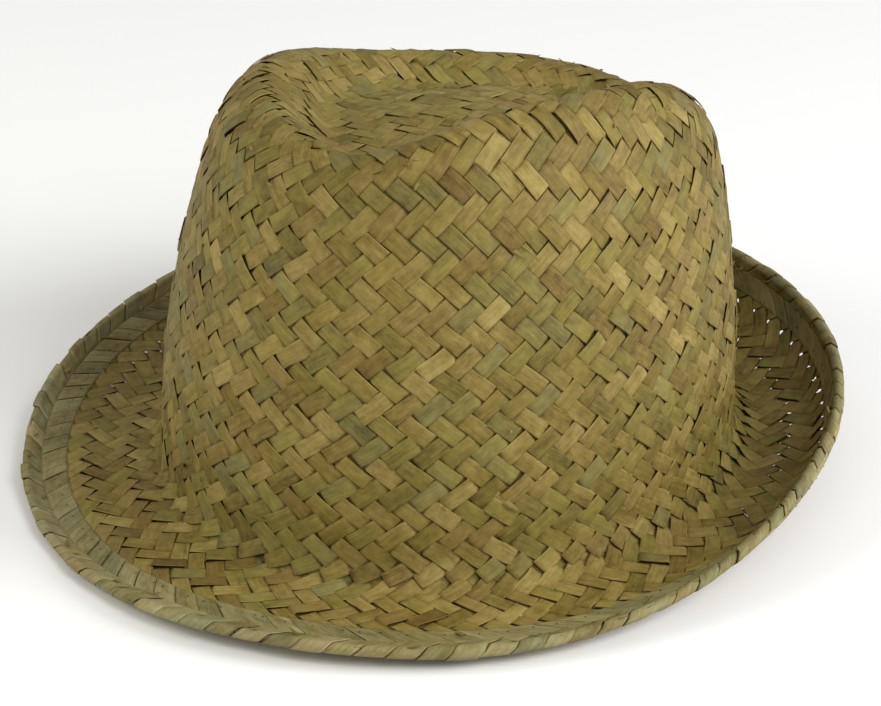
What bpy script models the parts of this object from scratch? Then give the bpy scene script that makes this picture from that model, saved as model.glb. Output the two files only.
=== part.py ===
"""Straw fedora: one woven straw shell, crown and brim in one piece, and the braid folded round its edge.

Metres, +Z up, standing on z = 0. The front of the hat looks along -Y and the wearer's left is +X.
"""
import bmesh
import bpy
import numpy as np

# sizes
headWidth = 0.164       # outside of the crown across the ears, at its foot
headLength = 0.2045     # outside of the crown, front to back, at its foot
crownHeight = 0.115     # from the foot of the crown to a rim share of 1 in the station table
turnRadius = 0.0092     # the round turn from the crown's wall into the brim
brimWidth = 0.0325      # along the surface, from the turn to the edge of the braid
brimCurl = 1.5          # how late the brim bends towards its edge: 1 is evenly
wall = 0.0016           # the woven straw, over and under strips together
braidWall = 0.001       # thickness of the edge braid
braidWidth = 0.011      # how far the braid reaches in from the edge
clearance = 0.0003      # between the straw and the braid

# faces
azimuthCount = 72       # columns round the hat
crownRows = 18          # rings from the foot of the crown to the middle of its top
turnRows = 4            # rings through the turn
brimRows = 6            # rings from the turn to the edge

# The crown from its foot to the middle of its top, a row for each section. Level is the share of the
# rim's height, width and length are shares of headWidth and headLength, nose is how much the front is
# narrowed, and even is how much of the rim's rise and fall round the hat has gone.
crownColumns = ("level", "width", "length", "nose", "even")
crownTable = (
    (0.000, 1.000, 1.000, 0.03, 0.0),   # the foot
    (0.250, 0.988, 0.987, 0.03, 0.0),
    (0.500, 0.964, 0.962, 0.07, 0.0),
    (0.750, 0.925, 0.925, 0.14, 0.0),
    (0.900, 0.878, 0.874, 0.19, 0.0),
    (0.980, 0.795, 0.797, 0.22, 0.0),   # the rim
    (0.985, 0.685, 0.706, 0.25, 0.1),
    (0.890, 0.500, 0.560, 0.24, 0.4),   # the valley inside it
    (0.900, 0.280, 0.360, 0.12, 0.8),   # the island
    (0.930, 0.000, 0.000, 0.00, 1.0),
)

# Stations at even steps round the hat, from the front by the wearer's left: the rim's height as a
# share of crownHeight, and the slope of the brim in degrees where it leaves the turn and at its edge.
stationColumns = ("rim", "inner", "outer")
stationTable = (
    (0.920, 1.5, 7.0),      # front
    (1.025, -12.0, 29.0),
    (0.965, -0.5, 92.0),    # left ear
    (0.745, 10.0, 106.0),
    (0.725, 19.5, 88.0),    # back
    (0.755, 9.5, 67.0),
    (0.880, -3.0, 41.5),    # right ear
    (0.925, -9.5, 10.5),
)


def column(table, columns, name):
    """One named column of a table."""
    return np.array([row[columns.index(name)] for row in table])


def cubic(before, start, end, after, t):
    """The smooth curve from start to end, with its slopes from the values on both sides."""
    return 0.5 * (2 * start + (end - before) * t
                  + (2 * before - 5 * start + 4 * end - after) * t**2
                  + (3 * start - before - 3 * end + after) * t**3)


def alongCrown(name, place):
    """A crown column read smoothly at places counted in rows."""
    values = column(crownTable, crownColumns, name)
    values = np.concatenate([[2 * values[0] - values[1]], values, [2 * values[-1] - values[-2]]])
    i = np.clip(place.astype(int), 0, len(crownTable) - 2)
    return cubic(values[i], values[i + 1], values[i + 2], values[i + 3], place - i)


def roundHat(name, azimuth):
    """A station column read smoothly at azimuths, closing on itself."""
    values = column(stationTable, stationColumns, name)
    place = azimuth / (2 * np.pi) * len(values)
    i = np.floor(place).astype(int)
    around = [values[(i + k) % len(values)] for k in (-1, 0, 1, 2)]
    return cubic(*around, place - i)


def crownPoints(azimuth, place):
    """Points of the crown's outer face: an ellipse at each place, narrowed at the front."""
    level, width, length, nose, even = (alongCrown(name, place) for name in crownColumns)
    front = ((1 + np.cos(azimuth)) / 2) ** 1.5
    x = width * headWidth / 2 * np.sin(azimuth) * (1 - nose * front)
    y = -length * headLength / 2 * np.cos(azimuth)
    meanRim = column(stationTable, stationColumns, "rim").mean()
    rim = roundHat("rim", azimuth) * (1 - even) + meanRim * even
    return np.stack([x, y, turnRadius + level * crownHeight * rim], axis=-1)


def turnLength(azimuth):
    """Length of the turn's arc, from straight down to the brim's inner slope."""
    return turnRadius * (np.pi / 2 + np.radians(roundHat("inner", azimuth)))


def brimPoints(azimuth, distance, lift):
    """Points at a distance along the turn and brim from the crown's foot, raised square to them.

    The slope turns evenly from straight down to the inner slope, then faster and faster on to the
    outer one, and the point is the sum of short steps along it.
    """
    steps = 40
    turn = turnLength(azimuth)[..., None]
    inner = np.radians(roundHat("inner", azimuth))[..., None]
    outer = np.radians(roundHat("outer", azimuth))[..., None]
    travelled = distance[..., None] * np.append((np.arange(steps) + 0.5) / steps, 1.0)
    onBrim = inner + (outer - inner) * np.maximum((travelled - turn) / brimWidth, 0) ** brimCurl
    slope = np.where(travelled < turn, travelled / turnRadius - np.pi / 2, onBrim)
    out = np.cos(slope[..., :-1]).sum(-1) * distance / steps - np.sin(slope[..., -1]) * lift
    up = np.sin(slope[..., :-1]).sum(-1) * distance / steps + np.cos(slope[..., -1]) * lift
    foot = crownPoints(azimuth, np.zeros_like(azimuth))
    sideX = np.sin(azimuth) / headWidth
    sideY = -np.cos(azimuth) / headLength
    side = np.stack([sideX, sideY, np.zeros_like(sideX)], axis=-1) / np.hypot(sideX, sideY)[..., None]
    return foot + side * out[..., None] + np.array([0.0, 0.0, 1.0]) * up[..., None]


def addRings(bm, points):
    """Vertices for an array of rings, and the quads between neighbouring rings."""
    rings = [[bm.verts.new(point) for point in ring] for ring in points]
    for near, far in zip(rings, rings[1:]):
        for i in range(len(near)):
            j = (i + 1) % len(near)
            bm.faces.new((near[i], near[j], far[j], far[i]))
    return rings


def addPiece(name, bm, colour, roughness):
    """Turns a finished bmesh into an object with its own material."""
    mesh = bpy.data.meshes.new(name)
    bm.to_mesh(mesh)
    bm.free()
    mesh.shade_smooth()
    material = bpy.data.materials.new(name + "_straw")
    material.use_nodes = True
    shader = material.node_tree.nodes["Principled BSDF"]
    shader.inputs["Base Color"].default_value = (*colour, 1.0)
    shader.inputs["Roughness"].default_value = roughness
    shader.inputs["Metallic"].default_value = 0.0
    mesh.materials.append(material)
    piece = bpy.data.objects.new(name, mesh)
    bpy.context.scene.collection.objects.link(piece)
    return piece


def buildBody():
    """The woven shell: rings from the edge of the brim to the middle of the crown, thickened inward."""
    azimuth = np.linspace(0, 2 * np.pi, azimuthCount, endpoint=False)
    turn = turnLength(azimuth)
    straight = brimWidth - braidWall - clearance
    onBrim = [turn + straight * k / brimRows for k in range(brimRows, 0, -1)]
    inTurn = [turn * k / turnRows for k in range(turnRows, 0, -1)]
    distance = np.array(onBrim + inTurn)
    brim = brimPoints(np.broadcast_to(azimuth, distance.shape), distance, np.zeros_like(distance))
    last = len(crownTable) - 1
    place = np.linspace(0, last, crownRows, endpoint=False)
    crown = crownPoints(*np.meshgrid(azimuth, place))
    bm = bmesh.new()
    rings = addRings(bm, np.concatenate([brim, crown]))
    middle = bm.verts.new(crownPoints(np.array(0.0), np.array(float(last))))
    top = rings[-1]
    for i in range(azimuthCount):
        bm.faces.new((top[i], top[(i + 1) % azimuthCount], middle))
    piece = addPiece("woven_body", bm, (0.27, 0.20, 0.075), 0.62)
    shell = piece.modifiers.new("wall", "SOLIDIFY")
    shell.thickness = wall
    shell.offset = -1.0
    shell.use_even_offset = True
    return piece


def braidSection():
    """The U of the folded braid, once round: distances in from the edge, and lifts."""
    outside = clearance + braidWall
    below = -wall - clearance
    reach = np.linspace(braidWidth, outside, 5)
    top = [(inward, outside) for inward in reach]
    fold = [(outside * 0.3, clearance), (0.0, -wall / 2), (outside * 0.3, below)]
    bottom = [(inward, below - braidWall) for inward in reach[::-1]]
    inner = [(inward, below) for inward in np.linspace(braidWidth, braidWall, 4)]
    back = [(inward, clearance) for inward in np.linspace(braidWall, braidWidth, 4)]
    return np.array(top + fold + bottom + inner + back)


def buildBraid():
    """The edge braid: its U section carried round the edge of the brim."""
    inward, lift = braidSection().T
    azimuth = np.linspace(0, 2 * np.pi, azimuthCount, endpoint=False)
    azimuth, inward = np.meshgrid(azimuth, inward)
    edge = turnLength(azimuth) + brimWidth
    points = brimPoints(azimuth, edge - inward, np.broadcast_to(lift[:, None], inward.shape))
    bm = bmesh.new()
    rings = addRings(bm, points)
    first, last = rings[0], rings[-1]
    for i in range(azimuthCount):
        j = (i + 1) % azimuthCount
        bm.faces.new((last[i], last[j], first[j], first[i]))
    bmesh.ops.recalc_face_normals(bm, faces=bm.faces)
    return addPiece("edge_braid", bm, (0.36, 0.30, 0.15), 0.58)


def standOnFloor(pieces):
    """Moves all pieces together, so that their box is centred on the origin and stands on z = 0."""
    bpy.context.view_layer.update()
    graph = bpy.context.evaluated_depsgraph_get()
    corners = np.array([v.co for piece in pieces for v in piece.evaluated_get(graph).data.vertices])
    low, high = corners.min(axis=0), corners.max(axis=0)
    middle = (low + high) / 2
    for piece in pieces:
        piece.location = (-middle[0], -middle[1], -low[2])


for old in list(bpy.data.objects):
    bpy.data.objects.remove(old, do_unlink=True)
body = buildBody()
braid = buildBraid()
standOnFloor((body, braid))
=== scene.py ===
# Straw fedora: strips woven over two and under two, and a plaited braid folded round the edge.
import math

import bpy
import numpy as np
from mathutils import Matrix, Vector


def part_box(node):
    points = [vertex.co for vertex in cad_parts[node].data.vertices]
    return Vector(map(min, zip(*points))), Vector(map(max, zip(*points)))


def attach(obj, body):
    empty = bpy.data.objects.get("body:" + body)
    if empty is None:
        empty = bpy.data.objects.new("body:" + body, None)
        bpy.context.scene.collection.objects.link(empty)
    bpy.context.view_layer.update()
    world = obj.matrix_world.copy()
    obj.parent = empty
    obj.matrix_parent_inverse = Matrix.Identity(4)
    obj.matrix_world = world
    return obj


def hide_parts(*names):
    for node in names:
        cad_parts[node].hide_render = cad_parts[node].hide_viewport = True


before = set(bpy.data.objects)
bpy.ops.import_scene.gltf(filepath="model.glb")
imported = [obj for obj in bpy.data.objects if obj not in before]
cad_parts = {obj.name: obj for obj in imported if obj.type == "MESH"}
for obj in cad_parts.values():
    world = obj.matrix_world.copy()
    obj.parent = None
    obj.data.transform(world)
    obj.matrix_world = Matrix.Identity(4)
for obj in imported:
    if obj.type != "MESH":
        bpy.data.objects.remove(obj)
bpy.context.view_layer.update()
print("frame loaded")


# the hat's surface, from the same sizes and shares as the solids

hat = {
    "headWidth": 0.164, "headLength": 0.2045, "crownHeight": 0.115,
    "turnRadius": 0.0092, "brimWidth": 0.0325, "brimCurl": 1.5,
    "braidWall": 0.001, "braidWidth": 0.011, "clearance": 0.0003,
    "brimSteps": 24,        # short steps that add up to a point of the brim
    # level, width, length, nose, even: from the foot of the crown to the middle of its top
    "crown": [
        (0.000, 1.000, 1.000, 0.03, 0.0),
        (0.250, 0.988, 0.987, 0.03, 0.0),
        (0.500, 0.964, 0.962, 0.07, 0.0),
        (0.750, 0.925, 0.925, 0.14, 0.0),
        (0.900, 0.878, 0.874, 0.19, 0.0),
        (0.980, 0.795, 0.797, 0.22, 0.0),
        (0.985, 0.685, 0.706, 0.25, 0.1),
        (0.890, 0.500, 0.560, 0.24, 0.4),
        (0.900, 0.280, 0.360, 0.12, 0.8),
        (0.930, 0.000, 0.000, 0.00, 1.0),
    ],
    # rim, inner slope, outer slope: from the front by the wearer's left
    "stations": [
        (0.920, 1.5, 7.0),
        (1.025, -12.0, 29.0),
        (0.965, -0.5, 92.0),
        (0.745, 10.0, 106.0),
        (0.725, 19.5, 88.0),
        (0.755, 9.5, 67.0),
        (0.880, -3.0, 41.5),
        (0.925, -9.5, 10.5),
    ],
}
crownTable = np.array(hat["crown"])
stationTable = np.array(hat["stations"])
crownEnds = np.vstack([2 * crownTable[0] - crownTable[1], crownTable,
                       2 * crownTable[-1] - crownTable[-2]])
topPlace = len(crownTable) - 1


def cubic(before, start, end, after, t):
    # the cubic from start at t = 0 to end at t = 1; its slope at each end is half the difference
    # between the values on both sides of that end
    return 0.5 * (2 * start + (end - before) * t
                  + (2 * before - 5 * start + 4 * end - after) * t**2
                  + (3 * start - before - 3 * end + after) * t**3)


def normalised(vectors):
    # vectors divided by their lengths
    return vectors / np.linalg.norm(vectors, axis=-1, keepdims=True)


def runAlong(points):
    # the length of the line through the points, up to each of them
    return np.concatenate([[0], np.linalg.norm(np.diff(points, axis=0), axis=1).cumsum()])


def roundHat(azimuth):
    # rim, inner and outer slope at azimuths, smooth and closed
    place = azimuth / (2 * np.pi) * len(stationTable)
    i = np.floor(place).astype(int)
    around = [stationTable[(i + k) % len(stationTable)] for k in (-1, 0, 1, 2)]
    return np.moveaxis(cubic(*around, (place - i)[..., None]), -1, 0)


def crownPoints(azimuth, place):
    # an ellipse at each place of the crown table, narrowed at the front, at its share of the rim's
    # height, which fades to the rim's mean towards the middle of the top
    i = np.clip(place.astype(int), 0, topPlace - 1)
    rows = cubic(*(crownEnds[i + k] for k in range(4)), (place - i)[..., None])
    level, width, length, nose, even = np.moveaxis(rows, -1, 0)
    front = ((1 + np.cos(azimuth)) / 2) ** 1.5
    x = width * hat["headWidth"] / 2 * np.sin(azimuth) * (1 - nose * front)
    y = -length * hat["headLength"] / 2 * np.cos(azimuth)
    rim = roundHat(azimuth)[0] * (1 - even) + stationTable[:, 0].mean() * even
    return np.stack([x, y, hat["turnRadius"] + level * hat["crownHeight"] * rim], axis=-1)


def brimLength(azimuth):
    # the arc of the turn, its radius times its angle, and the width of the brim after it
    inner = np.radians(roundHat(azimuth)[1])
    return hat["turnRadius"] * (np.pi / 2 + inner) + hat["brimWidth"]


def brimPoints(azimuth, distance, lift):
    # from the crown's foot outward, the sum of short steps: their slope turns evenly from straight
    # down to the inner slope, then ever faster to the outer one; raised square to it by lift
    steps = hat["brimSteps"]
    _, inner, outer = roundHat(azimuth)
    inner, outer = np.radians(inner)[..., None], np.radians(outer)[..., None]
    turn = hat["turnRadius"] * (np.pi / 2 + inner)
    travelled = distance[..., None] * np.append((np.arange(steps) + 0.5) / steps, 1.0)
    pastTurn = np.maximum((travelled - turn) / hat["brimWidth"], 0)
    onBrim = inner + (outer - inner) * pastTurn ** hat["brimCurl"]
    slope = np.where(travelled < turn, travelled / hat["turnRadius"] - np.pi / 2, onBrim)
    out = np.cos(slope[..., :-1]).sum(-1) * distance / steps - np.sin(slope[..., -1]) * lift
    up = np.sin(slope[..., :-1]).sum(-1) * distance / steps + np.cos(slope[..., -1]) * lift
    sideX, sideY = np.sin(azimuth) / hat["headWidth"], -np.cos(azimuth) / hat["headLength"]
    side = np.stack([sideX, sideY, 0 * sideX], axis=-1) / np.hypot(sideX, sideY)[..., None]
    foot = crownPoints(azimuth, np.zeros_like(azimuth))
    return foot + side * out[..., None] + np.array([0.0, 0.0, 1.0]) * up[..., None]


def hatPoints(azimuth, place):
    # place runs from -1 at the edge of the brim over 0 at the crown's foot to the middle of the
    # top; below 0 it is a share of the brim's length, above it counts the crown table's rows
    azimuth, place = np.broadcast_arrays(azimuth, place)
    onBrim = place < 0
    points = np.empty(place.shape + (3,))
    a = azimuth[onBrim]
    points[onBrim] = brimPoints(a, -place[onBrim] * brimLength(a), np.zeros(a.shape))
    points[~onBrim] = crownPoints(azimuth[~onBrim], place[~onBrim])
    return points


# the solids stand centred on the floor, so the same surface is moved by the same amount
ringAzimuth = np.linspace(0, 2 * np.pi, 721)
strawEdge = hat["braidWall"] + hat["clearance"]
edgePoints = brimPoints(ringAzimuth, brimLength(ringAzimuth) - strawEdge, 0 * ringAzimuth)
topPoints = hatPoints(ringAzimuth[:, None], np.linspace(3, 7, 161)[None, :])
low, high = (np.array(corner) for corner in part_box("woven_body"))
hatPlace = np.array([
    (low[0] + high[0] - edgePoints[:, 0].min() - edgePoints[:, 0].max()) / 2,
    (low[1] + high[1] - edgePoints[:, 1].min() - edgePoints[:, 1].max()) / 2,
    high[2] - topPoints[..., 2].max(),
])
print("surface placed at", hatPlace.round(5))


# the surface on a flat disc: the middle of the top at 0, the edge of the brim at radius 1

places = np.linspace(-1, topPlace, 401)
profiles = hatPoints(np.linspace(0, 2 * np.pi, 16, endpoint=False)[:, None], places[None, :])
profileSteps = np.linalg.norm(np.diff(profiles, axis=1), axis=2).mean(axis=0)
fromEdge = np.concatenate([[0], profileSteps.cumsum()])
radiusOfPlace = 1 - fromEdge / fromEdge[-1]

discCells = 1024
discReach = 1.01
discAxis = np.linspace(-discReach, discReach, discCells + 1)
discX, discY = np.meshgrid(discAxis, discAxis, indexing="ij")
discRadius = np.clip(np.hypot(discX, discY), 0, 1)
discPlace = np.interp(1 - discRadius, 1 - radiusOfPlace, places)
discPoints = hatPoints(np.arctan2(discX, -discY), discPlace) + hatPlace
slopeX = np.gradient(discPoints, discAxis, axis=0)
slopeY = np.gradient(discPoints, discAxis, axis=1)
discNormals = np.cross(slopeX, slopeY)
discNormals /= np.linalg.norm(discNormals, axis=2, keepdims=True) + 1e-12    # never by 0


def discAt(azimuth, place):
    # the disc's point at an azimuth, from the bottom by the right, at the radius of a place
    radius = np.interp(place, places, radiusOfPlace)
    return np.stack([radius * np.sin(azimuth), -radius * np.cos(azimuth)], axis=-1)


def readDisc(disc, field):
    # a field of the disc's grid at disc points, blended between the four nearest cells
    at = np.clip((disc + discReach) / (2 * discReach) * discCells, 0, discCells - 1e-6)
    i = at.astype(int)
    a, b = (at - i)[..., :1], (at - i)[..., 1:]
    i0, j0 = i[..., 0], i[..., 1]
    return ((field[i0, j0] * (1 - a) + field[i0 + 1, j0] * a) * (1 - b)
            + (field[i0, j0 + 1] * (1 - a) + field[i0 + 1, j0 + 1] * a) * b)


def discShift(disc, move):
    # the step on the disc that makes a small move along the surface, from the two equations of the
    # move's dot products with the surface's two slopes
    alongX, alongY = readDisc(disc, slopeX), readDisc(disc, slopeY)
    xx, yy = (alongX**2).sum(-1) + 1e-9, (alongY**2).sum(-1) + 1e-9
    xy = (alongX * alongY).sum(-1)
    moveX, moveY = (alongX * move).sum(-1), (alongY * move).sum(-1)
    scale = xx * yy - xy**2
    return np.stack([yy * moveX - xy * moveY, xx * moveY - xy * moveX], axis=-1) / scale[..., None]


print("disc ready")


# the weave: crossings lie on rings round a square mat, which folds down into the wall

weave = {
    "side": 17,             # strips along each side of the square mat on top
    "wallRings": 38,        # rings of crossings from the mat down to the crown's foot
    "turnRings": 2,         # rings from there into the turn
    "turnPlace": -0.17,     # where the crown's strips end
    "rimPlace": 5.0,        # where the mat meets the wall
    "firstCorner": -12.0,   # azimuth of the mat's first corner, degrees
    "spacing": 0.0052,      # of strips lying side by side
    "stripWidth": 0.0051,
    "thickness": 0.00026,
    "lift": 0.00041,        # of a strip over or under the middle of the weave
    "pop": 0.0004,          # how far a loose float may stand proud of that
    "tilt": 0.0001,         # and how far one of its edges may
    "dive": (0.36, 0.64),   # the part of a link in which a strip goes from over to under
    "lanes": (-1.0, -0.94, 0.0, 0.94, 1.0),     # across a strip, in half widths
    "edgeThinning": 0.4,    # how much thinner its very edges are
    "widthSpread": 0.035,   # of one strip from another
    "widthWander": 0.025,   # and along each
    "sideWander": 0.00012,  # how far a strip strays sideways
    "popStart": 0.5,        # chance value from which a float stands proud, and the most
    "popMost": 1.6,
    "toneLimits": (-0.7, 1.4),
    "toneSpread": (0.10, 0.17, 0.17),   # of hue, light and wear from float to float
    "paintedLight": 0.4,          # painted light: how much lighter the straw is painted on top of the crown
    "paintedLightPlace": 4.6,     # from where the painted light grows, and how fast
    "paintedLightGain": 10,
    "diveShade": 0.8,            # painted shade: how much darker the straw is painted where it dives
    # the settling: steps, steps between two measures of the rings, stiffness of the diagonals
    # and against bending, speed kept and push taken at each step
    "settleSteps": 420, "measureSteps": 20, "diagonals": 0.5, "bending": 0.5,
    "speedKept": 0.9, "pushShare": 0.12,
}
diveStart, diveEnd = weave["dive"]
diveMiddle = (diveStart + diveEnd) / 2
linkStops = (0.0, diveStart, diveMiddle, diveEnd)
side = weave["side"]
lastRing = side + weave["wallRings"] + weave["turnRings"]
ringCount = np.array([0] + [4 * min(k, side) for k in range(1, lastRing + 1)])
ringStart = np.concatenate([[0], ringCount.cumsum()])
ringOf = np.repeat(np.arange(lastRing + 1), ringCount)
inRing = np.arange(len(ringOf)) - ringStart[ringOf]


def crossing(ring, corner, strip, climbing):
    # the crossing that a strip passes on a ring: strip j turns over the mat's corner on ring j + 1,
    # and on the wall it moves on by one crossing every second ring
    below = ring - side
    if climbing:
        onMat = corner * ring + strip
        onWall = corner * side + strip - below // 2
    else:
        onMat = (corner + 1) * ring + ring - 1 - strip
        onWall = (corner + 1) * side + side - 1 - strip + (below + 1) // 2
    place = np.where(ring <= side, onMat, onWall)
    return ringStart[ring] + place % ringCount[ring]


def stripPath(corner, strip):
    # up from the last ring to the strip's first one and down again, on top over two rings of four
    # as it climbs, and over the other two as it falls
    up = np.arange(lastRing, strip, -1)
    down = up[::-1]
    rings = np.concatenate([up, down])
    climbs = np.repeat([True, False], len(up))
    path = np.concatenate([crossing(up, corner, strip, True), crossing(down, corner, strip, False)])
    return path, climbs == (rings % 4 < 2)


paths = [[stripPath(corner, strip) for strip in range(side)] for corner in range(4)]
allPaths = [path for group in paths for path, _ in group]
links = np.concatenate([np.stack([path[:-1], path[1:]], axis=1) for path in allPaths])
bends = np.concatenate([np.stack([path[:-2], path[1:-1], path[2:]], axis=1)
                        for path in allPaths])


def faceDiagonals():
    # both diagonals of each cell between four crossings, as from, to, ring, and 0 for along the
    # ring or 1 for across it; on the wall each ring and the next but one share their places
    found = []
    for ring in range(side, lastRing):
        i = np.arange(4 * side)
        found.append((ringStart[ring] + i, ringStart[ring] + (i + 1) % (4 * side), ring, 0))
        if ring > side:
            found.append((ringStart[ring - 1] + i, ringStart[ring + 1] + i, ring, 1))
    for ring in range(1, side + 1):
        for corner in range(4):
            i = np.arange(ring - 1)
            own = ringStart[ring] + corner * ring
            if ring < side:
                found.append((own + i, own + i + 1, ring, 0))
                following = (corner + 1) % 4
                beyond = ringStart[ring + 1] + np.array([corner, following]) * (ring + 1)
                nextSide = ringStart[ring] + following * ring
                found.append((beyond + (ring, 0), np.array([nextSide, own + ring - 1]), ring, 0))
            inner = ringStart[ring - 1] + corner * (ring - 1)
            outer = ringStart[ring + 1] + corner * min(ring + 1, side)
            found.append((inner + i, outer + i + 1, ring, 1))
    starts, ends, rings, across = zip(*found)
    sizes = [len(start) for start in starts]
    return (np.concatenate(starts), np.concatenate(ends),
            np.repeat(rings, sizes), np.repeat(across, sizes))


def azimuthByLength(place, share):
    # azimuth at a share of the girth, starting from the mat's first corner
    girth = runAlong(hatPoints(ringAzimuth, place))
    begin = np.interp(math.radians(weave["firstCorner"]) % (2 * np.pi), ringAzimuth, girth)
    return np.interp((begin + share * girth[-1]) % girth[-1], girth, ringAzimuth)


def firstCrossings():
    # a first guess: even rings down the wall, and squares on top that grow round towards the rim
    disc = np.zeros((len(ringOf), 2))
    rimPlace = weave["rimPlace"]
    rimDisc = np.interp(rimPlace, places, radiusOfPlace)
    footRing = side + weave["wallRings"]
    for ring in range(1, lastRing + 1):
        nodes = slice(ringStart[ring], ringStart[ring + 1])
        i = inRing[nodes]
        if ring >= side:
            if ring >= footRing:
                place = weave["turnPlace"] * (ring - footRing) / weave["turnRings"]
            else:
                place = rimPlace * (1 - (ring - side) / weave["wallRings"])
            share = (i + 0.5 * ((ring - side) % 2 == 0)) / (4 * side)
            disc[nodes] = discAt(azimuthByLength(place, share), place)
        else:
            grown = (ring / side) ** 1.5
            quarter, offset = i // ring, i % ring - (ring - 1) / 2
            roundShare = (quarter * ring + ring / 2 + offset) / (4 * ring)
            squareShare = (quarter + 0.5) / 4 + np.arctan2(offset, ring / 2) / (2 * np.pi)
            azimuth = azimuthByLength(rimPlace, roundShare * grown + squareShare * (1 - grown))
            square = np.hypot(offset, ring / 2) / (side / 2)
            radius = (square * (1 - grown) + ring / side * grown) * rimDisc
            disc[nodes] = np.stack([radius * np.sin(azimuth), -radius * np.cos(azimuth)], axis=-1)
    return disc


def sumAt(index, values, count):
    # for each of count points, the sum of the values (n, 3) that have its index
    return np.stack([np.bincount(index, values[:, axis], count) for axis in range(3)], axis=-1)


def settle(disc):
    # the crossings slide on the surface until the strips lie side by side: links and diagonals act
    # as springs, and a strip also resists bending; a ring's pitch gives the lean at which strips of
    # the wanted spacing fill it, and so its springs' lengths; the last ring stays in its place
    starts, ends, rings, across = faceDiagonals()
    speed = np.zeros_like(disc)
    count = len(disc)
    spacing = weave["spacing"]
    for step in range(weave["settleSteps"]):
        points = readDisc(disc, discPoints)
        if step % weave["measureSteps"] == 0:
            pitch = np.full(lastRing + 1, spacing * math.sqrt(2))
            for ring in range(side + 1, lastRing + 1):
                loop = points[ringStart[ring]:ringStart[ring + 1]]
                pitch[ring] = np.linalg.norm(loop - np.roll(loop, -1, axis=0), axis=1).mean()
            lean = np.arcsin(np.clip(spacing / pitch, 0, 0.95))
            linkLength = pitch / 2 / np.cos(lean)
            rise = pitch * np.tan(lean)
            wanted = np.where(across == 0, pitch[rings], rise[rings])
            wantedLink = linkLength[ringOf[links]].mean(axis=1)
        push = np.zeros_like(points)
        for a, b, rest, stiff in ((links[:, 0], links[:, 1], wantedLink, 1.0),
                                  (starts, ends, wanted, weave["diagonals"])):
            gap = points[b] - points[a]
            length = np.linalg.norm(gap, axis=1)
            pull = gap * ((length - rest) / length * stiff)[:, None]
            push += sumAt(a, pull, count) - sumAt(b, pull, count)
        before, here, after = bends.T
        bow = ((points[before] + points[after]) / 2 - points[here]) * weave["bending"]
        push += (sumAt(here, bow, count) - sumAt(before, bow / 2, count)
                 - sumAt(after, bow / 2, count))
        speed = weave["speedKept"] * speed + weave["pushShare"] * discShift(disc, push)
        speed[ringOf == lastRing] = 0
        disc = disc + speed
    return disc


crossings = settle(firstCrossings())
print("weave settled,", len(crossings), "crossings")


# the brim has strips of its own, whose first rings lie under the crown's last ones

brimWeave = {
    "strips": 88,           # of each lean
    "rings": 13,
    "looseRings": 9,        # from here to the edge no float stands proud
    "firstPlace": -0.07,    # of the first ring, in the turn
    "stripWidth": 0.005,
    "tuck": 0.00085,        # how deep the hidden ends lie
    "tuckedRings": 1.9,     # how far they stay hidden
    "tuckedFlat": 0.6,      # and how much flatter they are
    "tan": 0.10,            # how much further to tan its straw lies than the crown's
    "paintedLight": 0.20,         # and how much lighter it is painted, as painted light
}


def brimCrossings():
    # even rings down the brim, a crossing for each strip, every second ring half a step on
    rings, strips, first = brimWeave["rings"], brimWeave["strips"], brimWeave["firstPlace"]
    disc = []
    for ring in range(rings + 1):
        place = first + (-1 - first) * ring / rings
        share = (np.arange(strips) + 0.5 * (ring % 2)) / strips
        disc.append(discAt(azimuthByLength(place, share), place))
    return np.concatenate(disc)


def brimPath(strip, forward):
    # a strip goes half a step on, or back, from ring to ring, two rings over and two under
    ring = np.arange(brimWeave["rings"] + 1)
    place = strip + ring // 2 if forward else strip - (ring + 1) // 2
    path = len(ringOf) + ring * brimWeave["strips"] + place % brimWeave["strips"]
    return path, (ring % 4 < 2) == forward


brimPaths = [[brimPath(strip, forward) for strip in range(brimWeave["strips"])]
             for forward in (True, False)]
crossings = np.concatenate([crossings, brimCrossings()])
print("brim laid out")


# mesh helpers

def addMesh(name, points, quads, uvs=None, tones=None):
    # points (n, 3), quads (m, 4), and for each point its uv and its tone: hue, light and wear
    mesh = bpy.data.meshes.new(name)
    mesh.from_pydata(points.tolist(), [], quads.tolist())
    if uvs is not None:
        layer = mesh.uv_layers.new(name="strand")
        corners = np.empty(len(mesh.loops), dtype=np.int32)
        mesh.loops.foreach_get("vertex_index", corners)
        layer.data.foreach_set("uv", uvs[corners].astype(np.float32).ravel())
    if tones is not None:
        attribute = mesh.attributes.new("tone", "FLOAT_COLOR", "POINT")
        colours = np.concatenate([tones, np.ones((len(tones), 1))], axis=1)
        attribute.data.foreach_set("color", colours.astype(np.float32).ravel())
    mesh.shade_smooth()
    piece = bpy.data.objects.new(name, mesh)
    bpy.context.scene.collection.objects.link(piece)
    return piece


def joinParts(name, parts):
    # one piece from parts that each hold points, quads and perhaps uvs and tones
    return addMesh(name, *(np.concatenate(kind) for kind in zip(*parts)))


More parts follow.
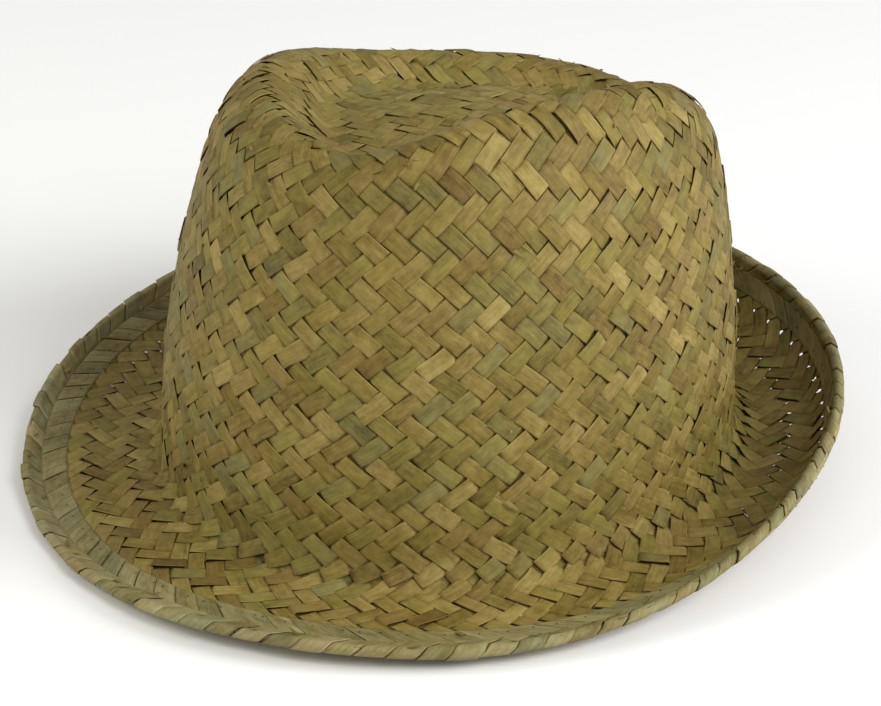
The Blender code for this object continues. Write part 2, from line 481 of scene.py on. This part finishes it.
def ribbonShell(over, under, first):
    # closed ribbons from arrays (strips, steps, lanes, 3): each section goes over the upper face
    # and back along the lower one, and both ends are closed; first is the first point's index
    strips, steps, lanes, _ = over.shape
    loops = np.concatenate([over, under[:, :, ::-1]], axis=2)
    wide = 2 * lanes
    index = first + np.arange(strips * steps * wide).reshape(strips, steps, wide)
    ahead = np.roll(index, -1, axis=2)
    sides = np.stack([index[:, :-1], index[:, 1:], ahead[:, 1:], ahead[:, :-1]], axis=-1)
    lane = np.arange(lanes - 1)
    caps = []
    for step, flip in ((0, False), (steps - 1, True)):
        ring = index[:, step]
        cap = np.stack([ring[:, lane], ring[:, lane + 1],
                        ring[:, wide - 2 - lane], ring[:, wide - 1 - lane]], axis=-1)
        caps.append((cap[..., ::-1] if flip else cap).reshape(-1, 4))
    return loops.reshape(-1, 3), np.concatenate([sides.reshape(-1, 4)] + caps)


def aroundStrand(lanes):
    # from just over 0 at one edge to just under 1 at the other, over the upper face and back
    return 0.02 + 0.96 * (np.concatenate([lanes, lanes[::-1]]) / 2 + 0.5)


def strandUv(along, around, strand):
    # u runs along each strand in centimetres and v goes round it; the strand's own whole number is
    # added to both, so that no two share their streaks
    shape = (len(strand), along.shape[-1], len(around))
    u = np.broadcast_to(along[..., None] + strand[:, None, None], shape)
    v = np.broadcast_to(around + strand[:, None, None], shape)
    return np.stack([u, v], axis=-1).reshape(-1, 2)


def stopsAlong(count):
    # (link, share) of every stop on count - 1 links, and of the far end
    link = np.append(np.repeat(np.arange(count - 1), len(linkStops)), count - 2)
    return link, np.append(np.tile(linkStops, count - 1), 1.0)


def smoothAlong(values, link, share):
    # values (n, d) read smoothly at shares of the links between neighbours, by the cubic above
    extended = np.vstack([2 * values[0] - values[1], values, 2 * values[-1] - values[-2]])
    return cubic(*(extended[link + k] for k in range(4)), share[:, None])


def stepAlong(values, link, share):
    # values (n, d) that hold round each crossing and change smoothly over the dive of a link
    s = np.clip((share - diveStart) / (diveEnd - diveStart), 0, 1)[:, None]
    s = s * s * (3 - 2 * s)
    return values[link] * (1 - s) + values[link + 1] * s


def floatNumbers(onTop):
    # each crossing's float: a float is a run of crossings on one side
    return np.concatenate([[0], (onTop[1:] != onTop[:-1]).cumsum()])


rimRadius = np.interp(weave["paintedLightPlace"], places, radiusOfPlace)


def buildStrips(name, group, seed, width=weave["stripWidth"], tuck=0):
    # each strip is the smooth curve through its crossings, carried on the surface, with lanes at
    # shares of its half width; a lane's height is the strip's side times the lift, more where a
    # float is loose, tilted across it, and less by tuck on the first rings of the brim
    chance = np.random.default_rng(seed)
    onBrim = tuck > 0
    lanes = np.array(weave["lanes"])
    thin = weave["thickness"] / 2 * (1 - weave["edgeThinning"] * lanes**16)
    around = aroundStrand(lanes)
    parts, first = [], 0
    for path, onTop in group:
        count = len(path)
        link, share = stopsAlong(count)
        disc = smoothAlong(crossings[path], link, share)
        points = readDisc(disc, discPoints)
        ahead = normalised(np.gradient(points, axis=0))
        across = normalised(np.cross(readDisc(disc, discNormals), ahead))

        # each float has its own height, tilt and tone
        floatOf = floatNumbers(onTop)
        own = chance.normal(0, 1, (floatOf[-1] + 1, 4))[floatOf]
        loose = np.clip((brimWeave["looseRings"] - np.arange(count)) / 2, 0, 1) if onBrim else 1.0
        proud = weave["pop"] * np.clip(own[:, 0] - weave["popStart"], 0, weave["popMost"]) * loose
        height = np.where(onTop, 1.0, -1.0) * (weave["lift"] + proud)
        height = stepAlong(np.stack([height, own[:, 1]], axis=1), link, share)
        wander = smoothAlong(chance.normal(0, 1, (count, 2)), link, share)
        spread = chance.normal(0, weave["widthSpread"])
        half = width / 2 * (1 + spread + weave["widthWander"] * wander[:, 0])
        offset = half[:, None] * lanes + weave["sideWander"] * wander[:, 1:2]
        hidden = np.clip((brimWeave["tuckedRings"] - link - share) * 2, 0, 1)[:, None] * onBrim
        rise = height[:, :1] + weave["tilt"] * height[:, 1:] * lanes
        rise = rise * (1 - brimWeave["tuckedFlat"] * hidden) - tuck * hidden

        laneDisc = disc[:, None] + discShift(disc, across)[:, None] * offset[..., None]
        lanePoints = readDisc(laneDisc, discPoints)
        laneNormals = readDisc(laneDisc, discNormals)
        upper = lanePoints + laneNormals * (rise + thin)[..., None]
        lower = lanePoints + laneNormals * (rise - thin)[..., None]
        loops, quads = ribbonShell(upper[None], lower[None], first)
        strand = chance.integers(1, 900, 1)

        # painted light on top of the crown and over the brim, painted shade where the strip dives
        tone = chance.uniform(0, 1, 3) + stepAlong(own[:, 1:] * weave["toneSpread"], link, share)
        tone[:, :2] += np.array([brimWeave["tan"], brimWeave["paintedLight"]]) * onBrim
        fromRim = rimRadius - np.linalg.norm(disc, axis=1)
        tone[:, 1] += weave["paintedLight"] * np.clip(fromRim * weave["paintedLightGain"], 0, 1)
        nearDive = np.clip(1 - np.abs(share - diveMiddle) / (diveEnd - diveMiddle), 0, 1)
        tone[:, 1] -= weave["diveShade"] * nearDive * (onTop[link] != onTop[link + 1])
        tones = np.repeat(np.clip(tone, *weave["toneLimits"]), len(around), axis=0)
        parts.append((loops, quads, strandUv(runAlong(points)[None] * 100, around, strand), tones))
        first += len(loops)
    return joinParts(name, parts)


stripPieces = [
    buildStrips("strips_front_left", paths[0], 11),
    buildStrips("strips_back_left", paths[1], 12),
    buildStrips("strips_back_right", paths[2], 13),
    buildStrips("strips_front_right", paths[3], 14),
]
for name, group, seed in (("brim_strips_forward", brimPaths[0], 15),
                          ("brim_strips_back", brimPaths[1], 16)):
    stripPieces.append(buildStrips(name, group, seed, brimWeave["stripWidth"], brimWeave["tuck"]))
for piece in stripPieces:
    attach(piece, "root")
    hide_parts("woven_body")
    print(piece.name, len(piece.data.polygons) * 2, "triangles")


# the edge braid: a plaited band folded round the edge, sewn through near its hem

braid = {
    "columns": 7,           # crossings from the upper hem round the fold to the lower one
    "units": 96,            # strands of each lean round the hat
    "strandShare": 0.97,    # of the room each strand has
    "thickness": 0.0003,
    "lift": 0.00026,
    "pop": 0.0002,
    "scallop": 0.0009,      # how far a strand may bulge at the fold
    "foldShare": 0.07,      # how far along the strand it does so
    "foldRadius": 0.0011,   # of the band's middle, round the straw's edge
    "foldMiddle": -0.0006,  # of the fold over the hat's surface
    "hemWidth": 0.0008,     # of the turned strand along each hem
    "frontStretch": 0.3,    # how much wider the band is at the front
    "stretchAzimuth": 0.25, # where it is widest, radians
    "stitchInset": 0.0026,  # of the sewing from the hem
    "stitchLength": 0.0011,
    "stitchProud": 0.00058, # of the middle of a stitch over the band
    "stitchDive": 0.0006,   # and how much deeper its ends lie
    "stitchStray": 0.00015, # sideways
    "moreStitches": 14,     # than units
    "threadRadius": 0.00013,
    "lanes": (-1.0, -0.88, 0.0, 0.88, 1.0),
    "unitLength": 3.2,      # of the streaks along a strand
    "popStart": 0.6,
    "popMost": 1.5,
    "unevenness": 0.03,     # of the strands' widths and places, in units
    "toneSpread": 0.1,
    "hemPlace": 0.42,       # how far in the hem strand's middle lies, in its widths
    "hemSteps": 6,
    "hemOverlap": 0.08,     # of one piece over the next, in units
    "hemLength": 0.85,      # of the streaks along it
    "hemWander": 0.00012,
    "hemRound": 0.00012,    # how far its edges are turned down
}
outerEdge = brimPoints(ringAzimuth, brimLength(ringAzimuth), 0 * ringAzimuth)
edgeRun = runAlong(outerEdge)
edgeShare = edgeRun / edgeRun[-1]
braidFlat = hat["braidWidth"] - braid["foldRadius"]
braidRun = 2 * braidFlat + np.pi * braid["foldRadius"]


def braidPoints(share, run, lift):
    # share goes once round the edge, run from the upper hem over the fold to the lower hem: level
    # above the straw, half a turn round its edge, level below it; lift is out of the band
    angle = np.clip((run - braidFlat) / braid["foldRadius"], 0, np.pi)
    radius = braid["foldRadius"] + lift
    azimuth = np.interp(share % 1.0, edgeShare, ringAzimuth)
    stretch = 1 + braid["frontStretch"] * ((1 + np.cos(azimuth - braid["stretchAzimuth"])) / 2) ** 2
    before = np.maximum(braidFlat - run, 0) * stretch
    after = np.maximum(run - braidRun + braidFlat, 0)
    inward = braid["foldRadius"] + before + after - radius * np.sin(angle)
    height = braid["foldMiddle"] + radius * np.cos(angle)
    return brimPoints(azimuth, brimLength(azimuth) - inward, height) + hatPlace


def bandShell(share, run, rise, thin, lean):
    # closed ribbons through (share, run) grids, from rise - thin to rise + thin out of the band;
    # the lanes of forward strands are turned round, so that all faces point outward
    upper = braidPoints(share, run, rise + thin)
    lower = braidPoints(share, run, rise - thin)
    if lean > 0:
        upper, lower = upper[:, :, ::-1], lower[:, :, ::-1]
    return ribbonShell(upper, lower, 0)


def buildPlait(name, lean, seed):
    # strands that go forward (lean +1) or back (lean -1) along the edge, half a unit for each
    # column, two columns over and two under
    chance = np.random.default_rng(seed)
    columns, units, lanes = braid["columns"], braid["units"], np.array(braid["lanes"])
    link, share = stopsAlong(columns + 2)       # crossings lie half a column in
    at = (link + share - 0.5) / columns
    keep = (at >= 0) & (at <= 1)
    link, share, at = link[keep], share[keep], at[keep]
    at[0], at[-1] = 0, 1
    onTop = (np.arange(-1, columns + 1) % 4 < 2) == (lean > 0)
    floatOf = floatNumbers(onTop)
    own = chance.normal(0, 1, (units, floatOf[-1] + 1, 3))[:, floatOf]
    side = np.where(onTop, 1.0, -1.0)
    proud = braid["pop"] * np.clip(own[..., 0] - braid["popStart"], 0, braid["popMost"])
    rise = stepAlong((side * (braid["lift"] + proud)).T, link, share).T
    rise = rise * np.clip(12 * np.minimum(at, 1 - at), 0.35, 1)     # flatter beside the hems
    bulge = chance.uniform(0, 1, (units, 1)) * np.exp(-((at - 0.5) / braid["foldShare"]) ** 2)
    rise = rise + braid["scallop"] * bulge * (lean < 0)
    unit = 1 / units
    uneven = braid["unevenness"]
    half = braid["strandShare"] * unit / 2 * (1 + uneven * chance.normal(0, 1, (units, 1)))
    middle = np.arange(units)[:, None] * unit + lean * (at - 0.5) * columns * unit / 2
    middle = middle + uneven * unit * chance.normal(0, 1, (units, 1))
    grid = middle[..., None] + half[..., None] * lanes
    thin = braid["thickness"] / 2 * (1 - weave["edgeThinning"] * lanes**8)
    run = np.broadcast_to((at * braidRun)[None, :, None], grid.shape)
    loops, quads = bandShell(grid, run, rise[..., None], thin, lean)
    around = aroundStrand(lanes)
    uvs = strandUv((at * braid["unitLength"])[None], around, chance.integers(1, 900, units))
    tone = chance.uniform(0, 1, (units, 1, 3)) + own[:, link, 1:2] * braid["toneSpread"]
    tones = np.repeat(np.clip(tone, 0, 1).reshape(-1, 3), len(around), axis=0)
    return addMesh(name, loops, quads, uvs, tones)


def buildHems(name, seed):
    # the strand that turns back along each hem, a piece for each unit that overlaps the next: its
    # height falls evenly along it, and its edges bend down as the square of the lane
    chance = np.random.default_rng(seed)
    units, steps, lanes = braid["units"], braid["hemSteps"], np.linspace(-1, 1, 3)
    along = np.linspace(-braid["hemOverlap"], 1 + braid["hemOverlap"], steps)
    share = (np.arange(units)[:, None] + along) / units
    grid = np.repeat(share[..., None], len(lanes), axis=2)
    height = (np.linspace(0.5, 0, steps) - 0.2) * braid["lift"]
    height = height[:, None] - braid["hemRound"] * lanes**2
    taper = 1 - 0.25 * np.linspace(-1, 1, steps)[:, None] ** 4
    around = aroundStrand(lanes)
    inset = braid["hemWidth"] * braid["hemPlace"]
    parts, first = [], 0
    for middle in (inset, braidRun - inset):
        wander = chance.normal(0, braid["hemWander"], (units, steps, 1)).cumsum(axis=1) * 0.5
        run = middle + braid["hemWidth"] / 2 * lanes * taper + wander
        upper = braidPoints(grid, run, height + braid["thickness"] / 2)
        lower = braidPoints(grid, run, height - braid["thickness"] / 2)
        loops, quads = ribbonShell(lower, upper, first)
        strand = chance.integers(1, 900, units)
        tones = np.repeat(chance.uniform(0, 1, (units, 3)), steps * len(around), axis=0)
        uvs = strandUv((along * braid["hemLength"])[None], around, strand)
        parts.append((loops, quads, uvs, tones))
        first += len(loops)
    return joinParts(name, parts)


def buildStitches(name, seed):
    # short threads that dive into the band at both ends, on both faces: tubes of square section,
    # whose height falls from their middle as the fourth power of the way to their ends
    chance = np.random.default_rng(seed)
    count, steps, radius = braid["units"] + braid["moreStitches"], 5, braid["threadRadius"]
    along = np.linspace(-1, 1, steps)
    turn = np.radians((45, 135, 225, 315))
    parts = []
    for inset in (braid["stitchInset"], braidRun - braid["stitchInset"]):
        start = (np.arange(count) + chance.normal(0, 0.2, count)) / count
        half = braid["stitchLength"] / 2 / edgeRun[-1] * chance.uniform(0.7, 1.3, count)
        share = (start[:, None] + half[:, None] * along)[..., None] + np.zeros(4)
        stray = chance.normal(0, braid["stitchStray"], count)[:, None, None]
        run = inset + stray + radius * np.sin(turn) + 0 * share
        height = braid["stitchProud"] - braid["stitchDive"] * along[:, None] ** 4
        height = height + radius * np.cos(turn) + 0 * share
        points = braidPoints(share, run, height)
        index = len(parts) * share.size + np.arange(share.size).reshape(count, steps, 4)
        ahead = np.roll(index, -1, axis=2)
        tube = np.stack([index[:, :-1], ahead[:, :-1], ahead[:, 1:], index[:, 1:]], axis=-1)
        quads = np.concatenate([tube.reshape(-1, 4), index[:, 0, ::-1], index[:, -1]])
        parts.append((points.reshape(-1, 3), quads))
    return joinParts(name, parts)


braidPieces = []
for name, lean in (("plait_forward", 1), ("plait_back", -1)):
    braidPieces.append(buildPlait(name, lean, 31 + lean))
braidPieces.append(buildHems("plait_hems", 41))
stitches = buildStitches("stitches", 51)
for piece in braidPieces + [stitches]:
    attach(piece, "root")
    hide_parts("edge_braid")
    print(piece.name, len(piece.data.polygons) * 2, "triangles")


# loose slivers and ends of straw

frays = {
    "count": 150,
    "steps": 7,
    "thickness": 0.00016,
    "root": 0.0001,         # how high over the surface a sliver starts
    "overBraid": 0.0009,    # and how much higher on the braid
    "braidPlace": -0.72,    # where the braid begins
    "slope": 0.0006,        # how far it rises evenly to its tip
    "bend": 0.15,           # sideways, in its lengths
    # the chance ones: places on the rim, the wall and the edge, bearings along the strips and
    # along the edge, how far they stray from these, and sizes
    "rimPlaces": (4.3, 6.3), "wallPlaces": (0.0, 4.3), "edgePlaces": (-0.99, -0.9),
    "bearings": [45.0, 135.0, 225.0, 315.0], "edgeBearings": [75.0, 285.0],
    "astray": (12, 25),
    "lengths": (0.0015, 0.0045), "widths": (0.0006, 0.0016), "rises": (0.0001, 0.0007),
    # the ones in the photograph: azimuth, place, bearing from straight up, length, width and rise
    "placed": [
        (39.0, 3.00, 152.0, 0.0090, 0.0013, 0.0020),
        (40.5, 2.98, 130.0, 0.0100, 0.0007, 0.0026),
        (33.0, 0.66, 130.0, 0.0125, 0.0028, 0.0010),
        (5.5, 4.80, 100.0, 0.0060, 0.0010, 0.0014),
        (25.5, -0.74, 160.0, 0.0060, 0.0018, 0.0016),
        (26.5, -0.72, 215.0, 0.0050, 0.0012, 0.0018),
        (74.0, -0.93, 120.0, 0.0070, 0.0022, 0.0012),
        (36.0, -0.96, 100.0, 0.0060, 0.0016, 0.0008),
        (321.0, 0.15, 60.0, 0.0080, 0.0012, 0.0018),
        (345.0, 0.10, 75.0, 0.0090, 0.0010, 0.0014),
    ],
}


def buildFrays(name, seed):
    # slivers that rise and bend as the square of their length and taper as its cube; the chance
    # ones lie on the crown's rim and wall and along the brim's edge
    chance = np.random.default_rng(seed)
    count, steps = frays["count"], frays["steps"]

    def draw(kind):
        return chance.uniform(*frays[kind], count)

    region = chance.integers(0, 3, count)
    place = np.choose(region, [draw("rimPlaces"), draw("wallPlaces"), draw("edgePlaces")])
    bearing = chance.choice(frays["bearings"], count) + chance.normal(0, frays["astray"][0], count)
    atEdge = chance.choice(frays["edgeBearings"], count)
    atEdge = atEdge + chance.normal(0, frays["astray"][1], count)
    bearing = np.where(region == 2, atEdge, bearing)
    drawn = np.stack([chance.uniform(0, 360, count), place, bearing,
                      draw("lengths"), draw("widths"), draw("rises")], axis=1)
    rows = np.concatenate([np.array(frays["placed"]), drawn])
    azimuth, place, bearing, length, width, rise = rows.T
    azimuth, bearing = np.radians(azimuth), np.radians(bearing)
    onBraid = place < frays["braidPlace"]
    disc = discAt(azimuth, place)
    sine, cosine = np.sin(azimuth)[:, None], np.cos(azimuth)[:, None]
    up = normalised(readDisc(disc, slopeY) * cosine - readDisc(disc, slopeX) * sine)
    normal = readDisc(disc, discNormals)
    level = np.cross(up, normal)
    ahead = up * np.cos(bearing)[:, None] + level * np.sin(bearing)[:, None]
    across = np.cross(normal, ahead)
    s = np.linspace(0, 1, steps)
    lanes = np.array([-1.0, 0.0, 1.0])
    bend = chance.normal(0, frays["bend"], len(place)) * length
    half = width[:, None] / 2 * (1 - 0.8 * s**3)
    lift = frays["root"] + frays["overBraid"] * onBraid[:, None]
    lift = lift + frays["slope"] * s + rise[:, None] * s**2
    middle = (readDisc(disc, discPoints)[:, None]
              + ahead[:, None] * (length[:, None] * s)[..., None]
              + across[:, None] * (bend[:, None] * s**2)[..., None]
              + normal[:, None] * lift[..., None])[:, :, None]
    spread = across[:, None, None] * (half[..., None] * lanes)[..., None]
    thin = normal[:, None, None] * frays["thickness"] / 2 * (1 - 0.4 * lanes**2)[:, None]
    loops, quads = ribbonShell(middle + spread + thin, middle + spread - thin, 0)
    strand = chance.integers(1, 900, len(place))
    around = np.concatenate([lanes, lanes[::-1]]) * 0.3 + 0.5
    uvs = strandUv(length[:, None] * 100 * s, around, strand)
    tones = chance.uniform((0.2, 0.5, 0), (1, 1, 1), (len(place), 3))
    tones[:, 0] *= np.where(onBraid, 0.2, 1)        # those on the braid are as grey-green as it is
    tones = np.repeat(tones, steps * len(around), axis=0)
    return addMesh(name, loops, quads, uvs, tones)


frayPiece = buildFrays("loose_ends", 61)
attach(frayPiece, "root")
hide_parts("woven_body")
stripPieces.append(frayPiece)
print("loose ends", len(frayPiece.data.polygons) * 2, "triangles")


# materials

def plug(tree, socket, value):
    # a wire or an output is linked to the socket, and a plain value is set on it
    if isinstance(value, Wire):
        value = value.socket
    if isinstance(value, bpy.types.NodeSocket):
        tree.links.new(value, socket)
    else:
        socket.default_value = value


class Wire:
    # a value socket with arithmetic: each operation adds a Math node
    def __init__(self, tree, socket):
        self.tree, self.socket = tree, socket

    def math(self, operation, *others):
        node = self.tree.nodes.new("ShaderNodeMath")
        node.operation = operation
        for slot, value in enumerate((self,) + others):
            plug(self.tree, node.inputs[slot], value)
        return Wire(self.tree, node.outputs[0])

    def __add__(self, other):
        return self.math("ADD", other)

    def __sub__(self, other):
        return self.math("SUBTRACT", other)

    def __rsub__(self, other):
        return (self * -1) + other

    def __mul__(self, other):
        return self.math("MULTIPLY", other)

    def __pow__(self, other):
        return self.math("POWER", other)

    __radd__, __rmul__ = __add__, __mul__


class Finish:
    # a material and its main shader
    def __init__(self, name):
        self.material = bpy.data.materials.new(name)
        self.material.use_nodes = True
        self.tree = self.material.node_tree
        self.shader = self.tree.nodes["Principled BSDF"]

    def node(self, kind, settings=None, inputs=None):
        # settings first, then a value or a link for each named socket
        made = self.tree.nodes.new(kind)
        for key, value in (settings or {}).items():
            if key == "stops":
                ramp = made.color_ramp
                while len(ramp.elements) < len(value):
                    ramp.elements.new(0.5)
                for element, (position, colour) in zip(ramp.elements, value):
                    element.position, element.color = position, (*colour, 1.0)
            else:
                setattr(made, key, value)
        for key, value in (inputs or {}).items():
            plug(self.tree, made.inputs[key], value)
        return made

    def wire(self, socket):
        return Wire(self.tree, socket)

    def feed(self, name, value):
        plug(self.tree, self.shader.inputs[name], value)


straw = {
    # each noise: its scales along and across the fibres, detail, roughness and weight in the shade
    "noises": {
        "fibres": (2.6, 22.0, 4.0, 0.7, 0.8),
        "threads": (0.8, 80.0, 1.0, 0.5, 0.15),
        "bands": (0.4, 6.0, 2.0, 0.5, 0.5),
        "grain": (26.0, 15.0, 2.0, 0.5, 0.3),
        "patches": (0.7, 0.8, 3.0, 0.5, 0.65),
        "blotches": (3.2, 2.2, 3.0, 0.6, 0.75),
    },
    # light scratches and dark specks: the same, and the value above which they show
    "marks": [
        (1.3, 55.0, 2.0, 0.5, 1.6, 0.6),
        (9.0, 9.0, 2.0, 0.5, -2.0, 0.68),
    ],
    "shade": 0.96,          # its middle and its least value
    "leastShade": 0.15,
    "light": 0.36,          # weight of the strip's lightness: its own tone, with the painted light and shade that it carries
    "shadedEdge": (0.09, 4.4),        # painted shade along one edge: up to where it is dark, and how fast it darkens
    "litAndWornEdge": (0.92, 14.4, 6.0),  # painted highlight and wear along the other: from where it is pale, by how much wear, less a start
    "powers": (1.0, 1.15, 1.8),     # of the shade in red, green and blue
    "hue": (0.8, 0.5, -0.15),       # weight of the strip's own hue and of the patches, and a start
    "roughness": (0.5, 0.2, 0.12),  # its least value, and the weights of fibres and wear
    "relief": (0.9, 0.4, 0.5),      # of fibres, threads and bands
    "reliefStrength": 0.5,
    "reliefDepth": 0.0002,
    "specular": 0.3,
}


def strawFinish(name, colours):
    # dried grass: the shade is the sum of the strip's lightness, which carries painted light and
    # shade, noises, marks, and two edges, one of painted shade and one of painted highlight and
    # wear, and the ramp's colour is multiplied by powers of it, highest for blue: where straw is
    # darker it is also browner
    finish = Finish(name)
    uv = finish.node("ShaderNodeUVMap", {"uv_map": "strand"}).outputs["UV"]
    parts = finish.node("ShaderNodeSeparateXYZ", inputs={"Vector": uv})
    along, across = finish.wire(parts.outputs["X"]), finish.wire(parts.outputs["Y"])
    tone = finish.node("ShaderNodeAttribute", {"attribute_name": "tone"})
    tones = finish.node("ShaderNodeSeparateColor", inputs={"Color": tone.outputs["Color"]})
    hue, light, wear = (finish.wire(tones.outputs[key]) for key in ("Red", "Green", "Blue"))

    def noise(alongScale, acrossScale, detail, roughness):
        vector = finish.node("ShaderNodeCombineXYZ",
                             inputs={"X": along * alongScale, "Y": across * acrossScale})
        made = finish.node("ShaderNodeTexNoise", {"noise_dimensions": "2D"},
                           {"Vector": vector.outputs[0], "Scale": 1.0, "Detail": detail,
                            "Roughness": roughness})
        return finish.wire(made.outputs["Fac"])

    noises = {kind: noise(*values[:4]) for kind, values in straw["noises"].items()}
    shade = (light - 0.5) * straw["light"] + straw["shade"]
    for kind, (*_, weight) in straw["noises"].items():
        shade = shade + (noises[kind] - 0.5) * weight
    for *values, weight, start in straw["marks"]:
        shade = shade + (noise(*values) - start).math("MAXIMUM", 0.0) * weight
    edge = across.math("FRACT")
    # a painted shadow line along one edge of each strip, and along the other a painted highlight,
    # paler where worn and darker where little worn
    darkUpTo, darkening = straw["shadedEdge"]
    paleFrom, paling, unworn = straw["litAndWornEdge"]
    shade = shade - (darkUpTo - edge).math("MAXIMUM", 0.0) * darkening
    shade = shade + (edge - paleFrom).math("MAXIMUM", 0.0) * (wear * paling - unworn)
    shade = shade.math("MAXIMUM", straw["leastShade"])
    ownHue, patchHue, hueStart = straw["hue"]
    place = hue * ownHue + noises["patches"] * patchHue + hueStart
    base = finish.node("ShaderNodeValToRGB", {"stops": colours}, {"Fac": place})
    shades = {key: shade ** power for key, power in zip(("Red", "Green", "Blue"), straw["powers"])}
    grey = finish.node("ShaderNodeCombineColor", inputs=shades)
    colour = finish.node("ShaderNodeMix", {"data_type": "RGBA", "blend_type": "MULTIPLY"},
                         {"Factor": 1.0, 6: base.outputs["Color"], 7: grey.outputs["Color"]})
    finish.feed("Base Color", colour.outputs[2])
    smooth, byFibres, byWear = straw["roughness"]
    finish.feed("Roughness", smooth + noises["fibres"] * byFibres + wear * byWear)
    relief = [noises[kind] * weight
              for kind, weight in zip(("fibres", "threads", "bands"), straw["relief"])]
    bump = finish.node("ShaderNodeBump", inputs={
        "Strength": straw["reliefStrength"], "Distance": straw["reliefDepth"],
        "Height": relief[0] + relief[1] + relief[2]})
    finish.feed("Normal", bump.outputs["Normal"])
    finish.feed("Specular IOR Level", straw["specular"])
    return finish.material


stripColours = [
    (0.00, (0.156, 0.130, 0.036)),      # grey-green
    (0.22, (0.168, 0.130, 0.022)),      # olive
    (0.46, (0.190, 0.134, 0.024)),      # straw
    (0.64, (0.228, 0.168, 0.040)),      # pale
    (0.84, (0.212, 0.146, 0.034)),      # tan
    (1.00, (0.162, 0.106, 0.020)),      # brown
]
braidColours = [
    (0.00, (0.186, 0.172, 0.075)),      # grey-green
    (0.40, (0.220, 0.190, 0.075)),      # olive
    (0.75, (0.256, 0.210, 0.083)),      # pale
    (1.00, (0.200, 0.154, 0.056)),      # tan
]
stripFinish = strawFinish("woven_straw", stripColours)
braidFinish = strawFinish("braid_straw", braidColours)
for piece in stripPieces:
    piece.data.materials.append(stripFinish)
for piece in braidPieces:
    piece.data.materials.append(braidFinish)
thread = {"colour": (0.075, 0.056, 0.026), "roughness": 0.8}
threadFinish = Finish("sewing_thread")
threadFinish.feed("Base Color", (*thread["colour"], 1.0))
threadFinish.feed("Roughness", thread["roughness"])
stitches.data.materials.append(threadFinish.material)
print("materials ready")


# floor, light and camera

studio = {
    "floor": (0.95, 0.95, 0.95),
    "floorSize": 12, "floorDrop": 0.0002, "floorRoughness": 0.9,
    "sky": 0.48,
    # the lamps: name, place, size, power and colour
    "lamps": [
        ("right", (1.45, 0.25, 0.75), 0.9, 17.5, (1.0, 1.0, 1.0)),
        ("right_front", (1.15, -0.85, 1.2), 0.8, 12.0, (1.0, 1.0, 1.0)),
        ("left", (-1.2, -1.0, 0.9), 1.2, 12.5, (1.0, 0.98, 0.85)),
    ],
    "lampAim": (0.0, 0.0, 0.05),
    # the camera: its angles in degrees, and how high over the hat's foot it looks
    "elevation": 23.23, "turn": -20.81, "roll": 1.89,
    "distance": 1.1304, "aimHeight": 0.0411,
    "lens": 157.3,
    "shiftX": -0.0141, "shiftY": -0.0540,
}


def buildStudio():
    # lamps and camera look along their own -Z: each is turned from its place to what it aims at
    bpy.ops.mesh.primitive_plane_add(size=studio["floorSize"],
                                     location=(0, 0, -studio["floorDrop"]))
    floor = bpy.context.active_object
    floor.name = "floor"
    paint = Finish("pale_floor")
    paint.feed("Base Color", (*studio["floor"], 1.0))
    paint.feed("Roughness", studio["floorRoughness"])
    floor.data.materials.append(paint.material)

    world = bpy.data.worlds.new("studio")
    bpy.context.scene.world = world
    world.use_nodes = True
    sky = world.node_tree.nodes["Background"]
    sky.inputs["Color"].default_value = (1.0, 1.0, 1.0, 1.0)
    sky.inputs["Strength"].default_value = studio["sky"]

    bpy.context.scene.view_settings.view_transform = "Standard"
    for name, place, size, power, colour in studio["lamps"]:
        light = bpy.data.lights.new(name, "AREA")
        light.shape, light.size, light.energy, light.color = "DISK", size, power, colour
        lamp = bpy.data.objects.new(name, light)
        bpy.context.scene.collection.objects.link(lamp)
        lamp.location = place
        way = Vector(studio["lampAim"]) - Vector(place)
        lamp.rotation_euler = way.to_track_quat("-Z", "Y").to_euler()

    # the camera stands round the hat from its front, looks down at it, and is rolled a little
    camera = bpy.data.objects.new("camera", bpy.data.cameras.new("camera"))
    bpy.context.scene.collection.objects.link(camera)
    camera.data.lens = studio["lens"]
    camera.data.shift_x, camera.data.shift_y = studio["shiftX"], studio["shiftY"]
    aim = Vector((hatPlace[0], hatPlace[1], hatPlace[2] + studio["aimHeight"]))
    aimed = (Matrix.Rotation(math.radians(-studio["turn"]), 4, "Z")
             @ Matrix.Rotation(math.radians(90 - studio["elevation"]), 4, "X")
             @ Matrix.Rotation(math.radians(studio["roll"]), 4, "Z"))
    back = Matrix.Translation((0, 0, studio["distance"]))
    camera.matrix_world = Matrix.Translation(aim) @ aimed @ back
    bpy.context.scene.camera = camera


buildStudio()
print("studio ready")
